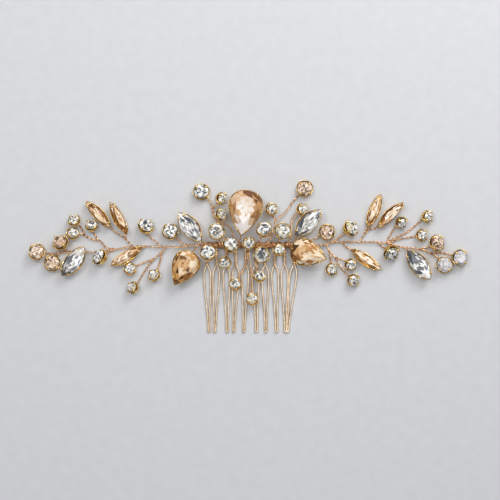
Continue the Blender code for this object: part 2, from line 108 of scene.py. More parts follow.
# The vine's wire.
STEM_R = 0.4
STRAND_R = 0.165
STRAND_OFFSET = 0.235
STRAND_PITCH = 3.6
STRAND_STEPS = 12
STRAND_SIDES = 7
BACKBONE_Z = 2.05
OVER_BINDING_Z = 3.5
WING_STEM_Z = 1.0
STEM_CLEARANCE = 0.05
BINDING_R = 0.2
BINDING_HALF_WIDTH = 1.2
BINDING_HALF_HEIGHT = 1.25
BINDING_Z = 1.5
# Each layer of the winding: its name, pitch (negative winds back) and lift over the first.
BINDING_LAYERS = (("binding_winding", 0.85, 0.0), ("binding_return", -2.9, 0.2))
BINDING_HALF_LENGTH = 18.4
BINDING_STEPS = 14
BINDING_WANDER = 0.25
BINDING_WANDER_RATE = 0.31
BINDING_JITTER = 0.02
BACKBONE_PHASE = 1.2
TAIL_PHASE = 0.4
TAIL_OFFSET = 0.55
TAIL_RISE = 0.2
TAIL_KNOTS_X = (-19.5, -9.0, 0.0, 9.0, 19.5)
SHORT_RUN = 1.2
# Centre stems meet the backbone beside their teeth, spread over a small grid of places.
STEM_EXIT_SHIFT = 1.0
EXIT_COLUMNS = 11
EXIT_COLUMN_STRIDE = 3
EXIT_COLUMN_STEP = 0.17
EXIT_ROWS = 7
EXIT_ROW_STRIDE = 5
EXIT_ROW_STEP = 0.05
# The vine's backbone and the places where its two ends bend with the wings.
BACKBONE_BENDS = ((-26.7, 4.6), (-21.5, SPINE_Y), (21.5, SPINE_Y), (26.7, 5.1))
LEFT_HINGE = (-31.3, 4.4)
RIGHT_HINGE = (30.9, 5.1)
HINGE_GAP = 0.5
HINGE_OVERLAP = 2.5

# Settings and stones.
WALL = 0.35
SEAT_GAP = 0.15
FOOT_THICKNESS = 0.9
FOOT_SHARE = 0.75
PEAR_WIDEST = 1.0 / 6.0
PEAR_SWELL = 0.77
# A cut's size: depth is from the cup's foot to the girdle, and facets is their count round it.
Cut = namedtuple("Cut", "length width depth crown facets")
CUTS = {
    "round": Cut(6.2, 6.2, 3.0, 1.2, 16),
    "small": Cut(4.5, 4.5, 2.5, 0.9, 16),
    "navette": Cut(15.0, 7.0, 3.0, 1.3, 10),
    "slim": Cut(15.0, 4.0, 2.8, 1.1, 8),
    "drop": Cut(15.2, 10.9, 3.4, 1.6, 10),
    "pear": Cut(19.0, 13.8, 3.8, 2.0, 12),
}
LONG_CUTS = ("navette", "slim", "drop", "pear")
# Rings of facet corners: share of the outline, share of the crown's height, turn in facets.
# The first three lie in the flat table.
FACET_RINGS = ((0.22, 1.0, 0.0), (0.42, 1.0, 0.5), (0.62, 1.0, 0.0), (0.82, 0.52, 0.5))
GIRDLE_SHARE = 0.985
GIRDLE_HEIGHT = 0.12
PAVILION_SHARE = 0.55
BANDS = 6

# Claw cups. The wall's rim dips between the claws, and its lips are a share of the outline and
# a lift over that rim. Inside, each ring is a share of the seat and a drop below the rim.
RIM_LOW = -0.95
RIM_HIGH = 0.05
CLAW_SPREAD = 0.30
FOOT_BEVEL_SHARE = 0.03
FOOT_BEVEL = 0.12
WAIST_SHARE = 0.90
WAIST_DEPTH_SHARE = 0.55
CUP_LIPS = ((0.985, 0.0), (0.965, 0.07))
CUP_INSIDE = ((1.0, 0.0), (0.90, 0.75), (0.58, 1.5))
CUP_FLOOR_SHARE = 0.7
CLAW_ANGLES = {
    "round": (45, 135, 225, 315),
    "small": (45, 135, 225, 315),
    "navette": (38, 142, 218, 322),
    "slim": (38, 142, 218, 322),
    "drop": (42, 120, 180, 240, 318),
    "pear": (36, 96, 150, 210, 264, 324),
}
CLAW_MARGIN = 0.12
LONG_CUT_CLAW_SIZE = 0.85
# A claw's path: share of the way out to its root, step inward over the stone, height, radius.
CLAW_PATH = (
    (0.92, 0.0, -1.2, 0.24), (1.0, 0.0, -0.5, 0.32), (1.0, 0.0, 0.08, 0.36),
    (1.0, 0.20, 0.38, 0.36), (1.0, 0.60, 0.54, 0.34), (1.0, 0.98, 0.58, 0.26),
)

# The camera looks straight down, a little above and right of the object's middle (in metres).
CAMERA_SHIFT = (0.00068, 0.00287)
CAMERA_HEIGHT = 0.6
CAMERA_LENS = 102.0

# A facet's tone is its painted reflection, from 0, deep, to 1, bright; these are the three kinds of
# painted reflection.
DEEP_TONES = (0.0, 0.2)
HALF_TONES = (0.35, 0.6)
BRIGHT_TONES = (0.74, 1.0)
OPAL_TONES = (0.2, 1.0)
HALF_TONE_SHARE = 0.16
# How much of each band of a long stone's facets gets a deep painted reflection, from the heart out
# to the girdle and pavilion.
DEEP_SHARES = {
    "navette": (0.30, 0.35, 0.35, 0.40, 0.40, 0.5),
    "slim": (0.20, 0.20, 0.25, 0.50, 0.55, 0.5),
    "drop": (0.15, 0.20, 0.30, 0.45, 0.50, 0.5),
    "pear": (0.05, 0.08, 0.15, 0.40, 0.40, 0.5),
}
MIRROR_BREAKS = 0.10
# A round stone's painted star of reflections: its arms, how often each kind of arm is deep, and
# how often an arm is broken in each of the same bands.
STAR_ARMS = 8
BRIGHT_ARM_DEEP_SHARE = 0.15
DEEP_ARM_DEEP_SHARE = 0.62
BROKEN_ARM_DEEP_SHARE = 0.4
ARM_BREAKS = (0.15, 0.2, 0.35, 0.3, 0.3, 0.5)
TABLE_BANDS = 3
CROWN_ANSWER = 0.8
# Painted light on one side of some stones: its direction, how strongly, the table's painted
# tone and how much that tone calms the table.
BRIGHT_SIDES = {
    "centre_pear": (240, 0.28, 0.90, 0.75),
    "left_drop": (30, 0.35, 0.62, 0.45),
    "right_drop": (-10, 0.45, 0.62, 0.35),
    "centre_navette_1": (215, 0.30, 0.80, 0.3),
    "centre_navette_2": (-35, 0.35, 0.70, 0.3),
    "left_navette": (10, 0.30, 0.90, 0.45),
    "right_navette": (-25, 0.22, 0.50, 0.1),
    "left_round_1": (-45, 0.25, 0.45, 0.5),
    "left_round_2": (-20, 0.20, 0.60, 0.4),
    "left_slim_1": (215, 0.15, 0.90, 0.6),
    "right_round_1": (0, 0.0, 0.95, 0.6),
    "right_round_2": (-30, 0.15, 0.55, 0.5),
    "centre_round_10": (-90, 0.20, 0.03, 0.75),
}
# Large painted reflections inside the big stones: place from the stone's centre, radius and tone.
REFLECTIONS = {
    "left_navette": ((-1.5, 0.9, 1.5, 0.08), (1.8, 3.6, 1.6, 0.62)),
    "right_navette": ((-1.6, 1.6, 1.3, 0.15), (0.6, -2.0, 1.3, 0.10), (2.2, -3.4, 1.2, 0.95)),
    "left_drop": ((-1.6, 2.2, 1.2, 0.10), (0.5, -6.0, 2.0, 0.22), (3.2, 3.2, 2.0, 0.45),
                  (3.0, -0.4, 1.8, 1.0), (-2.2, -3.4, 1.3, 0.9)),
    "right_drop": ((-5.0, 0.2, 1.6, 0.05), (-3.0, -2.4, 1.5, 0.15), (-1.4, 4.0, 1.8, 0.95),
                   (3.0, 1.6, 1.8, 0.40), (1.6, -2.4, 1.6, 0.95)),
    "centre_pear": ((5.4, -1.0, 2.0, 0.30), (-3.0, -2.4, 1.0, 0.45), (-1.4, -10.5, 3.2, 1.0),
                    (-4.5, 4.5, 3.0, 0.62)),
}

# One row for each stone: name, cut, tint, centre (x, y), turn of its long axis, lean and the
# direction that it leans towards, height of its foot, and its stem's route away from the stone.
LEFT_SPRIGS = (
    ("left_round_1", "round", "champagne", (-89.3, 2.5), 0, 10, 110, 0.0,
     ((-85.9, 1.7), (-82.5, 1.7))),
    ("left_round_2", "round", "champagne", (-82.9, -2.4), 0, 0, 0, 0.0,
     ((-81.7, -0.2), (-80.0, 2.0))),
    ("left_round_3", "round", "champagne", (-79.5, 6.8), 0, 35, 115, 0.0,
     ((-78.3, 4.4), (-76.6, 2.5))),
    ("left_small_1", "small", "clear", (-73.9, 10.4), 0, 25, 45, 0.0,
     ((-71.2, 9.9), (-69.1, 9.0), (-65.7, 7.6), (-62.8, 7.1), (-61.5, 5.7), (-59.8, 3.9),
      (-56.0, 3.6))),
    ("left_small_2", "small", "clear", (-73.7, 15.9), 0, 28, 110, 0.0,
     ((-71.2, 13.2), (-69.1, 9.0))),
    ("left_small_3", "small", "clear", (-66.3, 13.8), 0, 31, 90, 0.0,
     ((-65.3, 10.3), (-63.6, 7.2))),
    ("left_slim_1", "slim", "champagne", (-63.4, 18.1), 133, 8, 220, 0.0,
     ((-58.6, 13.1), (-56.7, 10.9), (-53.8, 9.2), (-51.3, 7.1), (-48.9, 4.6))),
    ("left_slim_2", "slim", "champagne", (-54.6, 16.7), 118, 25, 30, 0.0,
     ((-52.3, 10.6), (-51.7, 7.6))),
    ("left_round_4", "round", "clear", (-42.9, 13.6), 0, 42, 60, 0.0,
     ((-41.2, 8.2), (-39.3, 6.8), (-37.2, 4.6))),
    ("left_navette", "navette", "clear", (-73.8, -1.6), 51.5, 6, 140, 0.8,
     ((-70.8, 2.6),)),
    ("left_round_5", "round", "clear", (-63.3, 0.6), 0, 49, 150, 0.0,
     ((-59.8, 1.9), (-57.3, 3.2))),
    ("left_slim_3", "slim", "champagne", (-51.6, 0.5), 30.7, 12, 120, 0.0,
     ((-46.0, 3.6), (-43.0, 4.7))),
    ("left_small_4", "small", "clear", (-49.9, -4.7), 0, 17, 60, 0.0,
     ((-46.4, -3.1), (-42.6, -1.5), (-40.3, -0.6))),
    ("left_small_5", "small", "clear", (-49.2, -12.5), 0, 39, 160, 0.0,
     ((-45.8, -8.9), (-41.7, -2.6), (-36.9, 2.2), (-34.6, 4.5))),
    ("left_small_6", "small", "clear", (-40.0, -7.2), 0, 25, 120, 0.0,
     ((-37.8, -3.1), (-37.0, 0.2), (-36.4, 2.6))),
)
RIGHT_SPRIGS = (
    ("right_round_1", "round", "opal", (89.3, -0.2), 0, 17, -20, 0.0,
     ((85.0, 1.3), (80.8, 2.0), (76.6, 1.9))),
    ("right_round_2", "round", "opal", (82.6, -3.1), 0, 0, 0, 0.0,
     ((80.8, -0.4),)),
    ("right_round_3", "round", "champagne", (79.7, 6.3), 0, 25, 20, 0.0,
     ((76.6, 4.4), (72.0, 3.6))),
    ("right_small_1", "small", "clear", (73.4, 9.4), 0, 21, 0, 0.0,
     ((69.5, 8.8), (65.7, 8.2), (62.4, 7.3), (59.4, 5.9))),
    ("right_small_2", "small", "clear", (75.9, 17.2), 0, 39, 0, 0.0,
     ((72.0, 14.8), (68.6, 11.9), (65.7, 10.0), (61.1, 7.8), (58.6, 6.1))),
    ("right_small_3", "small", "clear", (64.8, 14.3), 0, 39, -50, 0.0,
     ((61.4, 11.9), (59.2, 8.2), (58.6, 6.1))),
    ("right_slim_1", "slim", "champagne", (59.9, 17.7), 44, 22, -46, 0.0,
     ((54.8, 13.2), (51.0, 11.8), (49.4, 10.1))),
    ("right_slim_2", "slim", "champagne", (52.9, 19.6), 68.5, 8, 160, 0.0,
     ((50.3, 12.8), (48.5, 9.0), (46.8, 6.6))),
    ("right_round_4", "round", "clear", (43.5, 12.6), 0, 45, 30, 0.0,
     ((39.2, 9.2), (37.2, 7.6), (34.6, 6.1))),
    ("right_navette", "navette", "clear", (71.7, -3.1), -51, 6, 200, 0.8,
     ((67.0, 3.2), (64.8, 4.4))),
    ("right_round_5", "round", "clear", (60.4, 1.5), 0, 42, -70, 0.0,
     ((57.3, 4.2), (54.4, 6.4))),
    ("right_slim_3", "slim", "champagne", (49.6, -0.9), -35, 8, 60, 0.0,
     ((43.0, 3.4), (40.9, 4.8), (39.3, 6.6))),
    ("right_small_4", "small", "clear", (43.3, -3.3), 0, 25, -45, 0.0,
     ((40.1, -1.1), (36.3, 0.4), (34.0, 2.9), (33.0, 5.7))),
    ("right_small_5", "small", "clear", (44.5, -9.8), 0, 21, -45, 0.0,
     ((41.4, -6.9), (39.2, -4.4), (36.8, -0.4), (35.9, 0.6))),
    ("right_small_6", "small", "clear", (35.3, -5.0), 0, 17, 0, 0.0,
     ((34.9, -1.9), (34.5, 0.6), (34.0, 2.9))),
)
# The centre's stems end on the backbone: the last number is the tooth beside which they do.
CENTRE_SPRIGS = (
    ("centre_pear", "pear", "champagne", (-1.1, 21.8), 261.4, 0, 0, 3.9,
     ((-3.2, 9.0),), 3),
    ("left_drop", "drop", "champagne", (-26.0, -2.4), 241, 4, 0, 1.6,
     ((-23.6, 1.6),), -1),
    ("right_drop", "drop", "champagne", (22.8, 2.4), -17.5, 4, 180, 2.9,
     (), 9),
    ("centre_navette_1", "navette", "clear", (-24.7, 12.7), -52, 8, 210, 1.6,
     ((-20.4, 7.1),), 0),
    ("centre_navette_2", "navette", "clear", (25.1, 14.4), 46, 15, -45, 1.6,
     ((20.4, 9.2),), 9),
    ("centre_round_1", "round", "clear", (-33.0, 11.2), 0, 17, 90, 0.0,
     ((-30.0, 7.8), (-27.1, 5.5), (-22.6, 5.2)), -1),
    ("centre_round_2", "round", "champagne", (33.2, 10.7), 0, 10, 30, 0.0,
     ((28.8, 8.4), (25.0, 6.7), (21.8, 5.4)), 9),
    ("centre_round_3", "round", "clear", (-19.9, 27.7), 0, 0, 0, 0.0,
     ((-16.2, 23.5), (-15.2, 20.6), (-14.9, 17.6), (-12.6, 14.9), (-9.0, 13.6), (-6.6, 10.0)), 2),
    ("centre_round_4", "round", "champagne", (23.7, 29.1), 0, 0, 0, 0.0,
     ((19.1, 24.1), (15.8, 19.5), (11.5, 15.4), (10.7, 10.7)), 6),
    ("centre_round_5", "round", "clear", (-13.4, 10.9), 0, 5, 90, 3.4,
     ((-12.6, 8.6),), 1),
    ("centre_round_6", "round", "clear", (-7.3, 5.7), 0, 36, 45, 3.4,
     (), 2),
    ("centre_round_7", "round", "clear", (-17.0, 2.2), 0, 20, 90, 3.4,
     ((-16.8, 3.6),), 0),
    ("centre_round_8", "round", "clear", (6.6, 11.9), 0, 21, 90, 3.4,
     ((5.7, 9.0),), 5),
    ("centre_round_9", "round", "clear", (14.4, 11.1), 0, 5, 0, 3.4,
     ((13.2, 8.6),), 7),
    ("centre_round_10", "round", "clear", (5.5, 1.2), 0, 5, 90, 3.4,
     ((6.2, 3.4),), 6),
    ("centre_small_1", "small", "clear", (-10.9, 24.8), 0, 42, -5, 1.0,
     ((-13.6, 22.0), (-15.2, 20.6)), None),
    ("centre_small_2", "small", "clear", (-11.1, 18.3), 0, 31, 30, 1.6,
     ((-13.2, 15.8), (-12.6, 14.9)), None),
    ("centre_small_3", "small", "clear", (9.8, 20.5), 0, 17, 30, 0.6,
     ((10.6, 17.0), (11.5, 15.4)), None),
    ("centre_small_4", "small", "clear", (23.0, 20.4), 0, 35, 20, 0.6,
     ((18.7, 16.6), (18.0, 13.6), (17.9, 9.4)), 8),
    ("centre_small_5", "small", "clear", (-10.0, -2.5), 0, 17, 225, 3.4,
     ((-9.4, 1.3),), 2),
    ("centre_small_6", "small", "clear", (0.2, 6.0), 0, 5, 0, 3.4,
     (), 4),
    ("centre_small_7", "small", "clear", (13.0, 3.2), 0, 17, 45, 3.4,
     (), 7),
    ("centre_small_8", "small", "clear", (-5.5, -11.1), 0, 17, 90, 2.0,
     ((-3.6, -6.9), (-1.1, -2.7), (-0.4, 2.3)), 4),
    ("centre_small_9", "small", "clear", (4.7, -7.6), 0, 25, 80, 2.0,
     ((3.8, -3.6), (2.4, 0.0), (3.4, 3.0)), 5),
    ("centre_small_10", "small", "clear", (1.5, -17.3), 0, 17, 100, 2.0,
     ((1.3, -12.0), (1.1, -6.1), (0.2, 0.6)), 4),
)
LEFT_MAIN_STEM = (
    (-37.2, 4.6), (-43.0, 4.7), (-48.9, 4.6), (-54.8, 3.7), (-59.8, 2.7), (-65.7, 2.1),
    (-70.8, 2.6), (-76.6, 2.5), (-82.5, 1.7),
)
RIGHT_MAIN_STEM = (
    (34.2, 6.1), (39.3, 6.6), (46.8, 6.6), (53.1, 6.5), (58.6, 6.1), (64.8, 4.4),
    (72.0, 3.6), (76.6, 1.9), (80.8, -0.4),
)


# ---------------------------------------------------------------- places, shared with the model


def girdle_point(cut, angle, margin):
    """A point of the stone's outline about its widest place, with a margin round it."""
    half_length = CUTS[cut].length / 2 + margin
    half_width = CUTS[cut].width / 2 + margin
    if cut in ("round", "small"):
        return half_length * math.cos(angle), half_width * math.sin(angle)
    if cut in ("navette", "slim"):
        bulge = math.sin(angle) * abs(math.sin(angle)) ** 0.75
        return half_length * math.cos(angle), half_width * bulge
    swell = math.sin(angle) * math.sin(angle / 2) / PEAR_SWELL
    return half_length * (math.cos(angle) + 2 * PEAR_WIDEST), half_width * swell


def stone_axes(turn, lean, towards):
    """A stone's turn on its own axis, then its lean away from upright, in degrees."""
    spin = Matrix.Rotation(math.radians(turn), 4, "Z")
    hinge = Vector((-math.sin(math.radians(towards)), math.cos(math.radians(towards)), 0.0))
    return Matrix.Rotation(math.radians(lean), 4, hinge) @ spin


def seat_place(cut, centre, turn, lean, towards, foot_z):
    """Where a stone's girdle sits, so that its leaning cup's foot comes down to foot_z."""
    foot_r = (CUTS[cut].width / 2 + SEAT_GAP + WALL) * FOOT_SHARE
    slope = math.radians(lean)
    height = foot_z + CUTS[cut].depth * math.cos(slope) + foot_r * math.sin(slope)
    return Matrix.Translation(Vector((*centre, height)) * MM) @ stone_axes(turn, lean, towards)


def foot_point(cut, place):
    """The place inside a cup's foot where its stem is threaded."""
    return tuple(place @ Vector((0.0, 0.0, (STEM_R - CUTS[cut].depth) * MM)) / MM)


def stem_points(cut, place, foot_z, route, root_z):
    """A stem's route from inside its cup's foot, with heights that change evenly along it."""
    start = foot_point(cut, place)
    flat = [start[:2], *route]
    runs = [0.0]
    for before, after in zip(flat, flat[1:]):
        runs.append(runs[-1] + math.dist(before, after))
    low = foot_z + STEM_R + STEM_CLEARANCE
    total = runs[-1]
    rising = [(x, y, low + (root_z - low) * run / total) for (x, y), run in zip(flat, runs)]
    return [start, *rising[1:]]


def stem_exit(tooth, order):
    """Where a centre stem meets the backbone: beside its tooth, each a little off the last."""
    column = (order * EXIT_COLUMN_STRIDE) % EXIT_COLUMNS - EXIT_COLUMNS // 2
    row = (order * EXIT_ROW_STRIDE) % EXIT_ROWS - EXIT_ROWS // 2
    exit_x = FIRST_TOOTH_X + tooth * TOOTH_PITCH + STEM_EXIT_SHIFT + column * EXIT_COLUMN_STEP
    return exit_x, SPINE_Y + row * EXIT_ROW_STEP


def nearest_height(point, stems):
    """The height of the stem knot nearest to a place, where another stem joins it."""
    knots = [knot for stem in stems for knot in stem]
    return min(knots, key=lambda knot: math.dist(point, knot[:2]))[2]


# ---------------------------------------------------------------- mesh building


class Builder:
    """Gathers points and faces for one piece, in millimetres."""

    def __init__(self, place=None):
        self.place = place or Matrix.Identity(4)
        self.points = []
        self.faces = []
        self.tones = []

    def point(self, x, y, z):
        self.points.append(self.place @ Vector((x * MM, y * MM, z * MM)))
        return len(self.points) - 1

    def face(self, corners, tone=0.5):
        self.faces.append(tuple(corners))
        self.tones.append(tone)

    def bridge(self, lower, upper):
        """Quads between two closed rings of the same length."""
        count = len(lower)
        for step in range(count):
            after = (step + 1) % count
            self.face((lower[step], lower[after], upper[after], upper[step]))

    def tube(self, path, radii, sides=8):
        """A round wire along the path with domed ends; radii is one number or one for each point."""
        path = [Vector(knot) for knot in path]
        if not isinstance(radii, (list, tuple)):
            radii = [radii] * len(path)
        heading = (path[1] - path[0]).normalized()
        side = heading.orthogonal().normalized()
        first = path[0] - heading * radii[0] * 0.5
        rings = []
        for index, knot in enumerate(path):
            before = path[max(index - 1, 0)]
            after = path[min(index + 1, len(path) - 1)]
            along = (after - before).normalized()
            side = (side - along * side.dot(along)).normalized()
            other = along.cross(side)
            ring = []
            for step in range(sides):
                angle = 2 * math.pi * step / sides
                spoke = side * math.cos(angle) + other * math.sin(angle)
                ring.append(self.point(*(knot + spoke * radii[index])))
            rings.append(ring)
        for lower, upper in zip(rings, rings[1:]):
            self.bridge(lower, upper)
        heading = (path[-1] - path[-2]).normalized()
        start = self.point(*first)
        end = self.point(*(path[-1] + heading * radii[-1] * 0.5))
        for step in range(sides):
            after = (step + 1) % sides
            self.face((rings[0][after], rings[0][step], start))
            self.face((rings[-1][step], rings[-1][after], end))

    def make(self, name, skin, smooth=True):
        """The finished piece, with each facet's tone (on the stones, their painted reflections) stored
        for its material.
        """
        mesh = bpy.data.meshes.new(name)
        mesh.from_pydata(self.points, [], self.faces)
        facet = mesh.attributes.new("facet", "FLOAT", "FACE")
        facet.data.foreach_set("value", self.tones)
        mesh.materials.append(skin)
        mesh.validate()
        if smooth:
            mesh.shade_smooth()
        piece = bpy.data.objects.new(name, mesh)
        bpy.context.scene.collection.objects.link(piece)
        return piece


def smooth_path(knots, step):
    """Points about one step apart on a smooth curve through the knots."""
    knots = [Vector(knot) for knot in knots]
    if len(knots) == 2:
        knots.insert(1, (knots[0] + knots[1]) / 2)
    padded = [knots[0] * 2 - knots[1], *knots, knots[-1] * 2 - knots[-2]]
    points = []
    for index in range(1, len(padded) - 2):
        a, b, c, d = padded[index - 1:index + 3]
        count = max(2, math.ceil((c - b).length / step))
        for part in range(count):
            t = part / count
            points.append(0.5 * (2 * b + (c - a) * t + (2 * a - 5 * b + 4 * c - d) * t * t
                                 + (3 * b - a - 3 * c + d) * t * t * t))
    points.append(knots[-1])
    return points


def twisted_pair(knots, phase=0.0):
    """Two wires twisted round each other along a smooth route."""
    path = smooth_path(knots, STRAND_PITCH / STRAND_STEPS)
    shape = Builder()
    side = (path[1] - path[0]).orthogonal().normalized()
    routes = ([], [])
    travelled = 0.0
    for index, knot in enumerate(path):
        before = path[max(index - 1, 0)]
        after = path[min(index + 1, len(path) - 1)]
        along = (after - before).normalized()
        side = (side - along * side.dot(along)).normalized()
        other = along.cross(side)
        if index:
            travelled += (knot - path[index - 1]).length
        for strand, route in enumerate(routes):
            angle = phase + math.pi * (2 * travelled / STRAND_PITCH + strand)
            route.append(knot + (side * math.cos(angle) + other * math.sin(angle)) * STRAND_OFFSET)
    for route in routes:
        shape.tube(route, STRAND_R, STRAND_SIDES)
    return shape


# ---------------------------------------------------------------- materials


def new_material(name):
    made = bpy.data.materials.new(name)
    made.use_nodes = True
    return made, made.node_tree.nodes, made.node_tree.links


def metal(name, light, dark, roughness, grain_scale):
    """Plated wire or pressed metal: colour drifts between two golds, with fine rubbed grain."""
    made, nodes, links = new_material(name)
    shader = nodes["Principled BSDF"]
    shader.inputs["Metallic"].default_value = 1.0
    coords = nodes.new("ShaderNodeTexCoord")
    drift = nodes.new("ShaderNodeTexNoise")
    drift.inputs["Scale"].default_value = grain_scale
    drift.inputs["Detail"].default_value = 4.0
    ramp = nodes.new("ShaderNodeValToRGB")
    ramp.color_ramp.elements[0].position = 0.35
    ramp.color_ramp.elements[0].color = (*dark, 1.0)
    ramp.color_ramp.elements[1].position = 0.62
    ramp.color_ramp.elements[1].color = (*light, 1.0)
    fine = nodes.new("ShaderNodeTexNoise")
    fine.inputs["Scale"].default_value = grain_scale * 9
    fine.inputs["Detail"].default_value = 3.0
    rough = nodes.new("ShaderNodeMapRange")
    rough.inputs["To Min"].default_value = roughness * 0.7
    rough.inputs["To Max"].default_value = roughness * 1.5
    bump = nodes.new("ShaderNodeBump")
    bump.inputs["Strength"].default_value = 0.12
    bump.inputs["Distance"].default_value = 0.00004
    links.new(coords.outputs["Object"], drift.inputs["Vector"])
    links.new(coords.outputs["Object"], fine.inputs["Vector"])
    links.new(drift.outputs["Fac"], ramp.inputs["Fac"])
    links.new(ramp.outputs["Color"], shader.inputs["Base Color"])
    links.new(fine.outputs["Fac"], rough.inputs["Value"])
    links.new(rough.outputs["Result"], shader.inputs["Roughness"])
    links.new(fine.outputs["Fac"], bump.inputs["Height"])
    links.new(bump.outputs["Normal"], shader.inputs["Normal"])
    return made


def cut_glass(name, stops, painted_glint_scale, painted_glint_shift):
    """A foiled, faceted stone: each facet's colour is a painted reflection with its own depth of
    tone, broken up by small painted inner reflections, under a clear polished surface."""
    made, nodes, links = new_material(name)
    shader = nodes["Principled BSDF"]
    shader.inputs["Roughness"].default_value = 0.05
    shader.inputs["IOR"].default_value = 1.5
    shader.inputs["Specular IOR Level"].default_value = 0.3
    coords = nodes.new("ShaderNodeTexCoord")
    facet = nodes.new("ShaderNodeAttribute")
    facet.attribute_name = "facet"
    cells = nodes.new("ShaderNodeTexVoronoi")
    cells.feature = "F1"
    cells.inputs["Scale"].default_value = painted_glint_scale
    tone = nodes.new("ShaderNodeSeparateColor")
    shift = nodes.new("ShaderNodeMapRange")
    shift.inputs["To Min"].default_value = -painted_glint_shift
    shift.inputs["To Max"].default_value = painted_glint_shift
    total = nodes.new("ShaderNodeMath")
    total.operation = "ADD"
    total.use_clamp = True
    ramp = nodes.new("ShaderNodeValToRGB")
    ramp.color_ramp.elements[0].position = stops[0][0]
    ramp.color_ramp.elements[0].color = (*stops[0][1], 1.0)
    ramp.color_ramp.elements[1].position = stops[-1][0]
    ramp.color_ramp.elements[1].color = (*stops[-1][1], 1.0)
    for position, colour in stops[1:-1]:
        ramp.color_ramp.elements.new(position).color = (*colour, 1.0)
    links.new(coords.outputs["Object"], cells.inputs["Vector"])
    links.new(cells.outputs["Color"], tone.inputs["Color"])
    links.new(tone.outputs["Red"], shift.inputs["Value"])
    links.new(facet.outputs["Fac"], total.inputs[0])
    links.new(shift.outputs["Result"], total.inputs[1])
    links.new(total.outputs["Value"], ramp.inputs["Fac"])
    links.new(ramp.outputs["Color"], shader.inputs["Base Color"])
    return made


# Each stone's colours for its painted reflections: tone, then colour, from its deepest painted
# reflection to its brightest.
CLEAR_STOPS = (
    (0.0, (0.022, 0.024, 0.030)), (0.22, (0.13, 0.135, 0.15)), (0.40, (0.38, 0.34, 0.25)),
    (0.60, (0.62, 0.56, 0.38)), (0.74, (0.70, 0.69, 0.66)), (1.0, (0.98, 0.97, 0.95)),
)
CLEAR_LARGE_STOPS = (
    (0.0, (0.06, 0.064, 0.075)), (0.25, (0.22, 0.225, 0.24)), (0.5, (0.50, 0.47, 0.40)),
    (0.75, (0.72, 0.70, 0.66)), (1.0, (1.0, 1.0, 1.0)),
)
CHAMPAGNE_STOPS = (
    (0.0, (0.035, 0.022, 0.016)), (0.2, (0.16, 0.095, 0.06)), (0.4, (0.36, 0.23, 0.15)),
    (0.62, (0.62, 0.43, 0.29)), (0.82, (0.78, 0.60, 0.46)), (1.0, (0.98, 0.84, 0.70)),
)
CHAMPAGNE_SLIM_STOPS = (
    (0.0, (0.12, 0.045, 0.014)), (0.2, (0.40, 0.17, 0.045)), (0.42, (0.62, 0.34, 0.12)),
    (0.65, (0.72, 0.48, 0.24)), (0.82, (0.78, 0.60, 0.40)), (1.0, (0.95, 0.86, 0.73)),
)
CHAMPAGNE_PEAR_STOPS = (
    (0.0, (0.15, 0.065, 0.03)), (0.2, (0.39, 0.19, 0.075)), (0.42, (0.55, 0.33, 0.155)),
    (0.65, (0.64, 0.45, 0.285)), (0.82, (0.70, 0.57, 0.46)), (1.0, (0.85, 0.79, 0.75)),
)
CHAMPAGNE_DROP_STOPS = (
    (0.0, (0.05, 0.023, 0.01)), (0.2, (0.26, 0.105, 0.03)), (0.42, (0.485, 0.235, 0.067)),
    (0.65, (0.59, 0.34, 0.135)), (0.82, (0.62, 0.42, 0.23)), (1.0, (0.80, 0.67, 0.50)),
)
OPAL_STOPS = (
    (0.0, (0.20, 0.18, 0.17)), (0.3, (0.34, 0.36, 0.40)), (0.6, (0.52, 0.48, 0.47)),
    (1.0, (0.88, 0.84, 0.86)),
)

gold = metal("claw_gold", (1.0, 0.74, 0.27), (0.55, 0.30, 0.07), 0.20, 900)
rose_wire = metal("rose_wire", (0.96, 0.64, 0.36), (0.46, 0.22, 0.09), 0.24, 900)
copper = metal("binding_copper", (0.86, 0.50, 0.26), (0.26, 0.10, 0.035), 0.28, 700)
comb_gold = metal("comb_wire", (0.95, 0.79, 0.60), (0.76, 0.58, 0.40), 0.25, 400)
glass = {
    ("clear", "small"): cut_glass("clear_crystal_small", CLEAR_STOPS, 1500, 0.10),
    ("clear", "navette"): cut_glass("clear_crystal_large", CLEAR_LARGE_STOPS, 500, 0.06),
    ("champagne", "small"): cut_glass("champagne_crystal_small", CHAMPAGNE_STOPS, 900, 0.10),
    ("champagne", "slim"): cut_glass("champagne_crystal_slim", CHAMPAGNE_SLIM_STOPS, 600, 0.08),
    ("champagne", "drop"): cut_glass("champagne_crystal_drop", CHAMPAGNE_DROP_STOPS, 350, 0.06),
    ("champagne", "pear"): cut_glass("champagne_crystal_pear", CHAMPAGNE_PEAR_STOPS, 350, 0.05),
    ("opal", "small"): cut_glass("opal_crystal", OPAL_STOPS, 700, 0.2),
}

# ---------------------------------------------------------------- stones and cups


def tone_of(dice, deep_share):
    """One painted inner reflection: deep, half or bright."""
    roll = dice.random()
    if roll < deep_share:
        return dice.uniform(*DEEP_TONES)
    if roll < deep_share + HALF_TONE_SHARE:
        return dice.uniform(*HALF_TONES)
    return dice.uniform(*BRIGHT_TONES)


def star_tones(dice, per_band):
    """Painted reflections of a round stone: bright arms from the heart, deep wedges between
    them, and a crown that answers with the opposite tones."""
    arms = [tone_of(dice, BRIGHT_ARM_DEEP_SHARE if arm % 2 else DEEP_ARM_DEEP_SHARE)
            for arm in range(STAR_ARMS)]
    table = []
    for band in range(BANDS):
        row = []
        for index in range(per_band):
            tone = arms[index * STAR_ARMS // per_band]
            if band >= TABLE_BANDS:
                tone = 1.0 - CROWN_ANSWER * tone
            if dice.random() < ARM_BREAKS[band]:
                tone = tone_of(dice, BROKEN_ARM_DEEP_SHARE)
            row.append(tone)
        table.append(row)
    return table


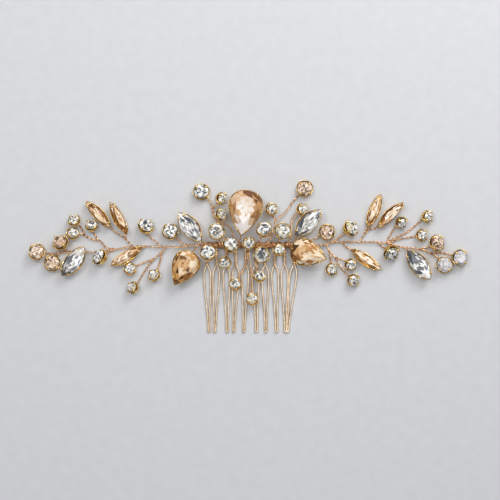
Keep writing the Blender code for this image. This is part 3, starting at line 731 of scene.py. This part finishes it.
def mirrored_tones(dice, cut, per_band):
    """Painted reflections of a long stone, mirrored from end to end as its real reflections are."""
    table = []
    for band in range(BANDS):
        deep_share = DEEP_SHARES[cut][band]
        half = [tone_of(dice, deep_share) for _ in range((per_band + 1) // 2)]
        row = []
        for index in range(per_band):
            tone = half[min(index, per_band - 1 - index)]
            if dice.random() < MIRROR_BREAKS:
                tone = tone_of(dice, deep_share)
            row.append(tone)
        table.append(row)
    return table


def lit(tone, name, middle, reach, place):
    """A facet's tone with painted light: lifted on the stone's bright side, lowered on its deep
    side with painted shade, or drawn to the tone of a large painted reflection."""
    if name in BRIGHT_SIDES:
        side, strength, table_tone, calm = BRIGHT_SIDES[name]
        heading = Vector((math.cos(math.radians(side)), math.sin(math.radians(side)), 0.0))
        local = place.to_3x3().inverted() @ heading
        away = (middle[0] * local.x + middle[1] * local.y) / reach
        if math.hypot(*middle) < 0.5 * reach:
            tone += (table_tone - tone) * calm
        tone += strength * away
    seen = place.to_3x3() @ Vector((*middle, 0.0))
    for x, y, radius, spot_tone in REFLECTIONS.get(name, ()):
        if math.dist((x, y), seen[:2]) < radius:
            tone = spot_tone
    return min(1.0, max(0.0, tone))


def facet_ring(shape, cut, share, height, turn, count):
    """Points of one ring of facet corners, each with its place in the stone's own plane."""
    made = []
    for step in range(count):
        x, y = girdle_point(cut, 2 * math.pi * (step + turn) / count, 0.0)
        made.append((shape.point(x * share, y * share, height), x * share, y * share))
    return made


def crystal(name, cut, tint, place):
    """A brilliant cut: a flat table of painted inner reflections, crown facets, girdle and pavilion."""
    dice = random.Random(name)
    size = CUTS[cut]
    steps = size.facets
    shape = Builder(place)
    if tint == "opal":
        tones = [[dice.uniform(*OPAL_TONES) for _ in range(2 * steps)] for _ in range(BANDS)]
    elif cut in LONG_CUTS:
        tones = mirrored_tones(dice, cut, 2 * steps)
    else:
        tones = star_tones(dice, 2 * steps)

    def facet(corners, band, index):
        middle = [sum(corner[axis] for corner in corners) / 3 for axis in (1, 2)]
        tone = lit(tones[band][index], name, middle, size.width / 2, place)
        shape.face([corner[0] for corner in corners], tone)

    heart = (shape.point(0.0, 0.0, size.crown), 0.0, 0.0)
    rings = [facet_ring(shape, cut, share, size.crown * rise, turn, steps)
             for share, rise, turn in FACET_RINGS]
    edge = facet_ring(shape, cut, GIRDLE_SHARE, GIRDLE_HEIGHT, 0.0, 2 * steps)
    for step in range(steps):
        after = (step + 1) % steps
        facet((heart, rings[0][step], rings[0][after]), 0, 2 * step)
        for band, (inner, outer) in enumerate(zip(rings, rings[1:]), 1):
            lead = step if band % 2 else after
            behind = step - 1 if band % 2 else step
            facet((inner[step], outer[lead], inner[after]), band, 2 * step)
            facet((outer[behind], outer[lead], inner[step]), band, 2 * step + 1)
        left, tip, right = edge[2 * step], edge[2 * step + 1], edge[(2 * step + 2) % (2 * steps)]
        facet((left, tip, rings[-1][step]), BANDS - 2, 2 * step)
        facet((tip, right, rings[-1][step]), BANDS - 2, 2 * step + 1)
        facet((rings[-1][step], right, rings[-1][after]), BANDS - 2, 2 * step)
    lower = facet_ring(shape, cut, 1.0, 0.0, 0.0, 2 * steps)
    half_down = (FOOT_THICKNESS - size.depth) / 2
    waist = facet_ring(shape, cut, PAVILION_SHARE, half_down, 0.0, 2 * steps)
    lower = [corner[0] for corner in lower]
    waist = [corner[0] for corner in waist]
    culet = shape.point(0.0, 0.0, FOOT_THICKNESS + SEAT_GAP - size.depth)
    shape.bridge(lower, [corner[0] for corner in edge])
    shape.bridge(waist, lower)
    for step in range(2 * steps):
        shape.face((culet, waist[(step + 1) % (2 * steps)], waist[step]), tones[BANDS - 1][step])
    skin = cut if cut in LONG_CUTS else "small"
    return shape.make(f"{name}_crystal", glass[tint, skin], smooth=False)


def rim_height(angle, claws):
    """The cup's wall dips between claws and rises smoothly to each of them."""
    nearest = min(abs((angle - claw + math.pi) % (2 * math.pi) - math.pi) for claw in claws)
    return RIM_LOW + (RIM_HIGH - RIM_LOW) * math.exp(-(nearest / CLAW_SPREAD) ** 2)


def cup_ring(shape, cut, margin, share, heights):
    """One ring of the cup: a share of the stone's outline, with a height for each point."""
    ring = []
    for step, height in enumerate(heights):
        x, y = girdle_point(cut, 2 * math.pi * step / len(heights), margin)
        ring.append(shape.point(x * share, y * share, height))
    return ring


def claw(shape, cut, angle):
    """A claw that rises outside the girdle and bends inward over the crown."""
    size = LONG_CUT_CLAW_SIZE if cut in LONG_CUTS else 1.0
    root = Vector((*girdle_point(cut, angle, SEAT_GAP + CLAW_MARGIN), 0.0))
    inward = -root.normalized()
    path = []
    radii = []
    for share, step, height, radius in CLAW_PATH:
        path.append(root * share + inward * step + Vector((0.0, 0.0, height)))
        radii.append(size * radius)
    shape.tube(path, radii)


def cup(name, cut, place):
    """A pressed claw cup: a flat foot, a flared scalloped wall and claws bent over the girdle."""
    depth = CUTS[cut].depth
    claws = [math.radians(angle) for angle in CLAW_ANGLES[cut]]
    steps = 56 if cut in LONG_CUTS else 40
    rim = [rim_height(2 * math.pi * step / steps, claws) for step in range(steps)]
    wall = ((FOOT_SHARE - FOOT_BEVEL_SHARE, -depth), (FOOT_SHARE, FOOT_BEVEL - depth),
            (WAIST_SHARE, -depth * WAIST_DEPTH_SHARE))
    lowest = FOOT_THICKNESS * CUP_FLOOR_SHARE - depth
    shape = Builder(place)
    rings = [cup_ring(shape, cut, SEAT_GAP + WALL, share, [level] * steps)
             for share, level in wall]
    rings += [cup_ring(shape, cut, SEAT_GAP + WALL, share, [height + lift for height in rim])
              for share, lift in CUP_LIPS]
    rings += [cup_ring(shape, cut, SEAT_GAP, share, [max(height - drop, lowest) for height in rim])
              for share, drop in CUP_INSIDE]
    for lower, upper in zip(rings, rings[1:]):
        shape.bridge(lower, upper)
    shape.face(list(reversed(rings[0])))
    shape.face(rings[-1])
    for angle in claws:
        claw(shape, cut, angle)
    return shape.make(f"{name}_cup", gold)


# ---------------------------------------------------------------- the comb and its binding


def tooth_point(root_x, lean, side, y, lift=0.0):
    """A point of a tooth: it falls evenly from the spine to the tip and leans below its twist."""
    run = (SPINE_Y - y) / (SPINE_Y - TIP_Y)
    bend = max(0.0, (TWIST_END_Y - y) / (TWIST_END_Y - TIP_Y))
    return root_x + lean * bend + side, y, SPINE_Z + (TIP_Z - SPINE_Z) * run + lift


def twisted_root(root_x, lean, phase):
    """One of the two wires of a tooth's twisted root, from the spine down."""
    wound = []
    for step in range(1, TWIST_STEPS + 1):
        share = step / TWIST_STEPS
        angle = 2 * math.pi * TWIST_TURNS * (share - 1) + phase
        wound.append(tooth_point(root_x, lean, TWIST_HALF_GAP * math.cos(angle),
                                 SPINE_Y + (TWIST_END_Y - SPINE_Y) * share,
                                 TWIST_HALF_GAP * math.sin(angle)))
    return wound


def comb_wire():
    """One wire all the way: along the spine, twisted down, round a hairpin and twisted back."""
    last_x = FIRST_TOOTH_X + (len(TIP_LEANS) - 1) * TOOTH_PITCH
    route = [(FIRST_TOOTH_X - SPINE_OVERHANG, SPINE_Y, SPINE_Z)]
    for index, lean in enumerate(TIP_LEANS):
        root_x = FIRST_TOOTH_X + index * TOOTH_PITCH
        route += twisted_root(root_x, lean, math.pi)
        route += [tooth_point(root_x, lean, -half, y) for half, y in TOOTH_LEG]
        route += [tooth_point(root_x, lean, side, y) for side, y in TOOTH_TURN]
        route += [tooth_point(root_x, lean, half, y) for half, y in reversed(TOOTH_LEG)]
        route += reversed(twisted_root(root_x, lean, 2 * math.pi))
    route.append((last_x + SPINE_OVERHANG, SPINE_Y, SPINE_Z))
    shape = Builder()
    shape.tube(smooth_path(route, 0.5), COMB_WIRE_R)
    piece = shape.make("comb_bent_wire", comb_gold)
    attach(piece, "root")
    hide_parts("comb")


def binding():
    """Fine wire wound closely round the spine and the vine's backbone, back and forth and uneven."""
    for name, pitch, lift in BINDING_LAYERS:
        dice = random.Random(name)
        turns = 2 * BINDING_HALF_LENGTH / pitch
        steps = int(abs(turns) * BINDING_STEPS)
        route = []
        for step in range(steps + 1):
            angle = 2 * math.pi * turns * step / steps
            wander = BINDING_WANDER * math.sin(angle * BINDING_WANDER_RATE)
            wander += dice.uniform(-BINDING_JITTER, BINDING_JITTER)
            route.append((BINDING_HALF_LENGTH * (2 * step / steps - 1) + wander,
                          SPINE_Y + (BINDING_HALF_WIDTH + lift) * math.sin(angle),
                          BINDING_Z + (BINDING_HALF_HEIGHT + lift) * math.cos(angle)))
        shape = Builder()
        shape.tube(route, BINDING_R, 6)
        piece = shape.make(name, copper)
        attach(piece, "root")
        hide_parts("binding_wire")


# ---------------------------------------------------------------- sprays


def sprig(name, cut, tint, place, points, body):
    """A stone, the cup that holds it and the twisted stem threaded through the cup's foot."""
    stone = crystal(name, cut, tint, place)
    setting = cup(name, cut, place)
    wire = twisted_pair(points).make(f"{name}_stem", rose_wire)
    for piece in (stone, setting, wire):
        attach(piece, body)
    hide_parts(name)


def wing(body, main, sprigs, hinge, outward):
    """A wing's sprigs, and its main stem, which bends where it leaves the centre."""
    hinge_x, hinge_y = hinge
    knots = [(hinge_x - outward * HINGE_OVERLAP, hinge_y, BACKBONE_Z), (*hinge, BACKBONE_Z)]
    knots.append((*main[0], (BACKBONE_Z + WING_STEM_Z) / 2))
    knots += [(x, y, WING_STEM_Z) for x, y in main[1:]]
    stem = twisted_pair(knots).make(f"{body}_main_stem", rose_wire)
    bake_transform(stem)
    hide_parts(f"{body}_frame")
    stems = [knots[1:]]
    for name, cut, tint, centre, turn, lean, towards, foot_z, route in sprigs:
        place = seat_place(cut, centre, turn, lean, towards, foot_z)
        points = stem_points(cut, place, foot_z, route, nearest_height(route[-1], stems))
        stems.append(points)
        sprig(name, cut, tint, place, points, body)


def centre():
    """The fixed centre: a backbone tied along the spine, and the stems that rise from it."""
    left_end = (LEFT_HINGE[0] + HINGE_GAP, LEFT_HINGE[1], BACKBONE_Z)
    right_end = (RIGHT_HINGE[0] - HINGE_GAP, RIGHT_HINGE[1], BACKBONE_Z)
    backbone = [left_end, *[(x, y, BACKBONE_Z) for x, y in BACKBONE_BENDS], right_end]
    wires = [("vine_backbone", backbone, BACKBONE_PHASE)]
    for side, word in ((-1, "lower"), (1, "upper")):
        tail_y = SPINE_Y + side * TAIL_OFFSET
        tail = [(x, tail_y, BACKBONE_Z + TAIL_RISE) for x in TAIL_KNOTS_X]
        wires.append((f"{word}_stem_tails", tail, TAIL_PHASE + side))
    for name, route, phase in wires:
        wire = twisted_pair(route, phase).make(name, rose_wire)
        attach(wire, "root")
        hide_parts("centre_spray_frame")
    stems = []
    for order, row in enumerate(CENTRE_SPRIGS):
        name, cut, tint, where, turn, lean, towards, foot_z, route, tooth = row
        place = seat_place(cut, where, turn, lean, towards, foot_z)
        if tooth is None:
            points = stem_points(cut, place, foot_z, route, nearest_height(route[-1], stems))
        else:
            foot = stem_exit(tooth, order)
            points = stem_points(cut, place, foot_z, (*route, foot), OVER_BINDING_Z)
            if math.dist(points[-1][:2], points[-2][:2]) < SHORT_RUN:
                points.pop()
            points.append((*foot, BACKBONE_Z))
        stems.append(points)
        sprig(name, cut, tint, place, points, "root")


# ---------------------------------------------------------------- table, light and camera


def table_top():
    """A plain pale table with a faint speckle."""
    bpy.ops.mesh.primitive_plane_add(size=4.0)
    floor = bpy.context.object
    floor.name = "table_top"
    made, nodes, links = new_material("table_paint")
    shader = nodes["Principled BSDF"]
    shader.inputs["Roughness"].default_value = 0.75
    shader.inputs["Specular IOR Level"].default_value = 0.2
    speck = nodes.new("ShaderNodeTexNoise")
    speck.inputs["Scale"].default_value = 900
    ramp = nodes.new("ShaderNodeValToRGB")
    ramp.color_ramp.elements[0].color = (0.55, 0.555, 0.57, 1.0)
    ramp.color_ramp.elements[1].color = (0.61, 0.615, 0.63, 1.0)
    links.new(speck.outputs["Fac"], ramp.inputs["Fac"])
    links.new(ramp.outputs["Color"], shader.inputs["Base Color"])
    floor.data.materials.append(made)


def area_light(name, place, aim, size, power):
    """A soft round lamp, turned to face the place that it lights."""
    lamp = bpy.data.lights.new(name, "AREA")
    lamp.shape = "DISK"
    lamp.size = size
    lamp.energy = power
    made = bpy.data.objects.new(name, lamp)
    made.location = place
    made.rotation_euler = (Vector(aim) - Vector(place)).to_track_quat("-Z", "Y").to_euler()
    bpy.context.scene.collection.objects.link(made)


def studio():
    """A wide soft box overhead, a nearer soft key behind the comb and a small lamp for sparkle."""
    world = bpy.data.worlds.new("studio")
    bpy.context.scene.world = world
    world.use_nodes = True
    sky = world.node_tree.nodes["Background"]
    sky.inputs["Color"].default_value = (0.955, 0.965, 1.0, 1.0)
    sky.inputs["Strength"].default_value = 0.36
    area_light("softbox", (0.0, 0.35, 1.2), (0.0, 0.0, 0.0), 1.5, 8.9)
    area_light("key", (0.22, 0.40, 0.34), (0.02, 0.05, 0.0), 0.28, 1.5)
    area_light("sparkle", (-0.25, 0.2, 0.5), (0.0, 0.0, 0.0), 0.05, 0.5)
    bpy.context.scene.view_settings.view_transform = "Standard"


def camera():
    """Straight down from well above."""
    low, high = cad_box
    middle = [(low[axis] + high[axis]) / 2 for axis in range(2)]
    lens = bpy.data.cameras.new("camera")
    lens.lens = CAMERA_LENS
    lens.clip_start = 0.01
    made = bpy.data.objects.new("camera", lens)
    made.location = (middle[0] + CAMERA_SHIFT[0], middle[1] + CAMERA_SHIFT[1], CAMERA_HEIGHT)
    bpy.context.scene.collection.objects.link(made)
    bpy.context.scene.camera = made


for old in list(bpy.data.objects):
    if old.type in ("LIGHT", "CAMERA"):
        bpy.data.objects.remove(old)
camera()
studio()
table_top()
comb_wire()
binding()
centre()
wing("left_wing", LEFT_MAIN_STEM, LEFT_SPRIGS, LEFT_HINGE, -1)
wing("right_wing", RIGHT_MAIN_STEM, RIGHT_SPRIGS, RIGHT_HINGE, 1)
